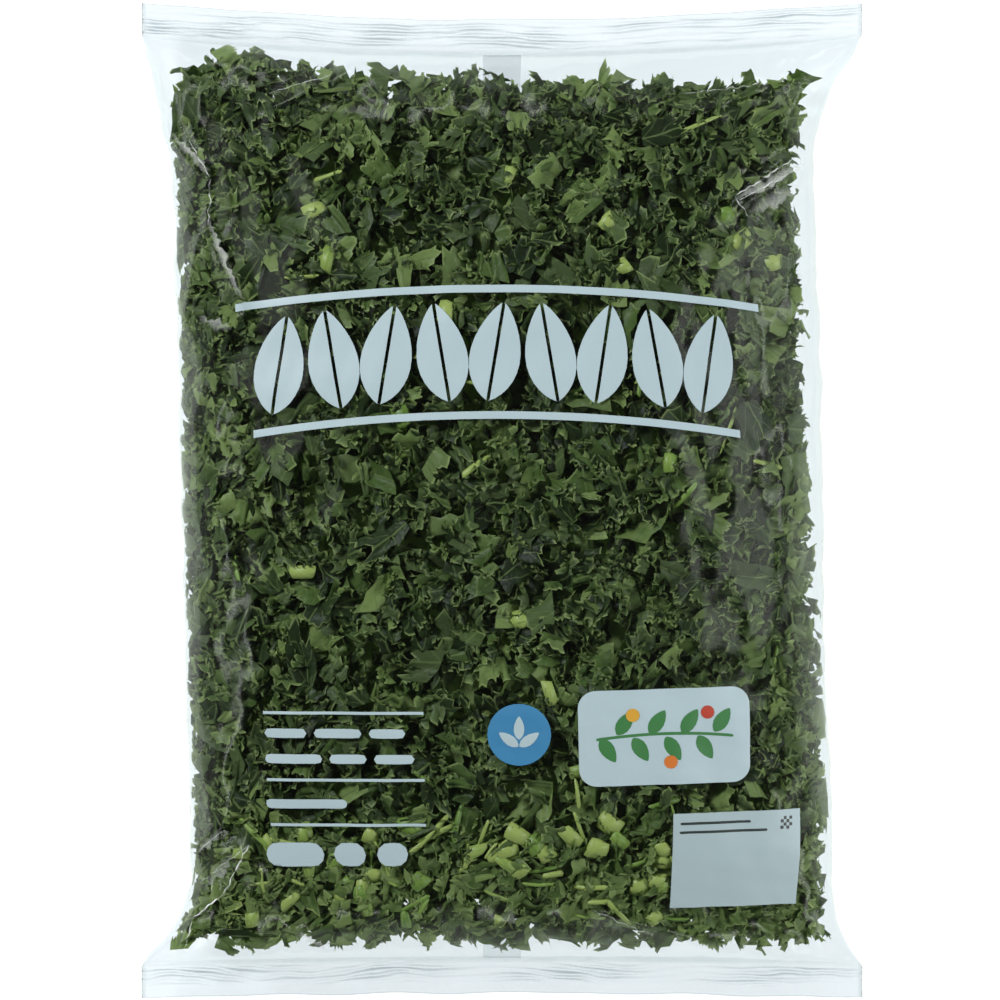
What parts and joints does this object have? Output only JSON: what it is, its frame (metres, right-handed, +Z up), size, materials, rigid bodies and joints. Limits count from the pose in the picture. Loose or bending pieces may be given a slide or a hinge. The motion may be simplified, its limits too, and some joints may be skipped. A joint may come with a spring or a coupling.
{
  "type": "bag of chopped kale",
  "caption": "Clear film pillow bag, crimp sealed at both ends and fin sealed down the back, filled with chopped curly kale and lying on its back.",
  "frame": {"origin": "on the surface the bag lies on, under the middle of the bag", "axes": "+Z up out of the bag's printed front, +Y towards the bag's top end, +X to the right as seen from the front"},
  "size_m": [0.25, 0.345, 0.0526],
  "materials": {
    "clear_film": "clear glossy packaging film",
    "kale_leaf": "waxy leaf with frilled margin",
    "kale_stem": "cut juicy stem",
    "film_ink": "satin ink printed on film"
  },
  "bodies": {
    "root": {"film_bag": "clear_film", "chopped_kale": "kale_leaf"}
  },
  "joints": []
}
